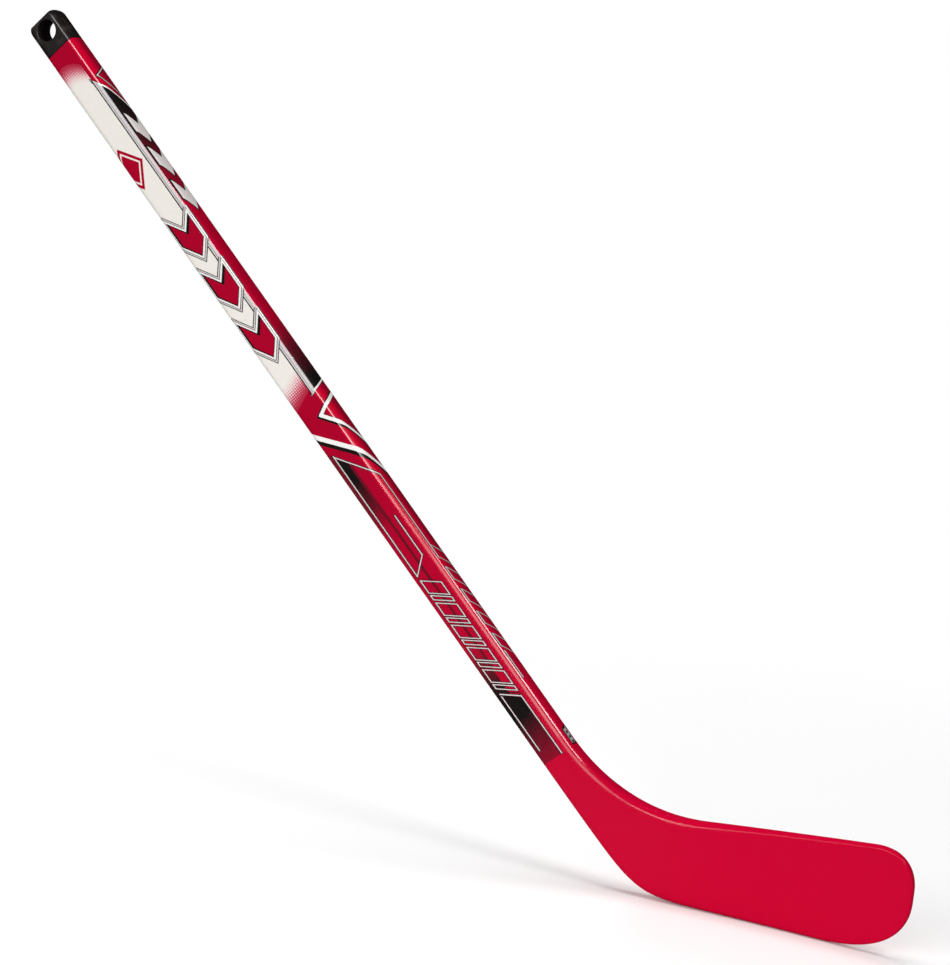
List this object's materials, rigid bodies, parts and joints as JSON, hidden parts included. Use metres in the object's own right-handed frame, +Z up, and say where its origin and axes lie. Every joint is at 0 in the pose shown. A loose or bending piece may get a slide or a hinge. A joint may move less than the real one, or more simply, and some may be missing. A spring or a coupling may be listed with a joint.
{
  "type": "ice hockey stick",
  "caption": "Child's left-handed ice hockey stick: tubular shaft with printed wrap, end cap with a hanging hole, and a laminated blade curved at the toe.",
  "frame": {"origin": "on the shaft's axis at the middle of the top hand's grip, 40 mm from the butt end", "axes": "playing pose: +X from heel to toe along the ice, +Y away from the forehand face, +Z up; the shaft leaves the ice at 44 degrees and the sole lies level at z = -0.481 m"},
  "size_m": [0.6986, 0.0201, 0.5157],
  "materials": {
    "cap_plastic": "black moulded plastic, satin with a fine grain",
    "tube_composite": "dark cured glass-fibre laminate, unpainted",
    "printed_wrap": "glossy printed wrap, red with off-white, black and maroon shapes, under clear lacquer",
    "plug_foam": "rigid foam, off-white",
    "label_foil": null,
    "hosel_resin": "solid glass-filled resin",
    "blade_foam": "rigid foam, off-white",
    "blade_paint": "glossy red lacquer over laminate",
    "edge_paint": "glossy red lacquer over laminate"
  },
  "bodies": {
    "root": {"butt_end_cap": "cap_plastic", "shaft_tube": "tube_composite", "graphic_wrap": "printed_wrap", "tube_foam_plug": "plug_foam", "spec_label": "label_foil", "hosel": "hosel_resin", "blade_foam_core": "blade_foam", "forehand_skin": "blade_paint", "backhand_skin": "blade_paint", "blade_edge_band": "edge_paint"}
  },
  "joints": []
}
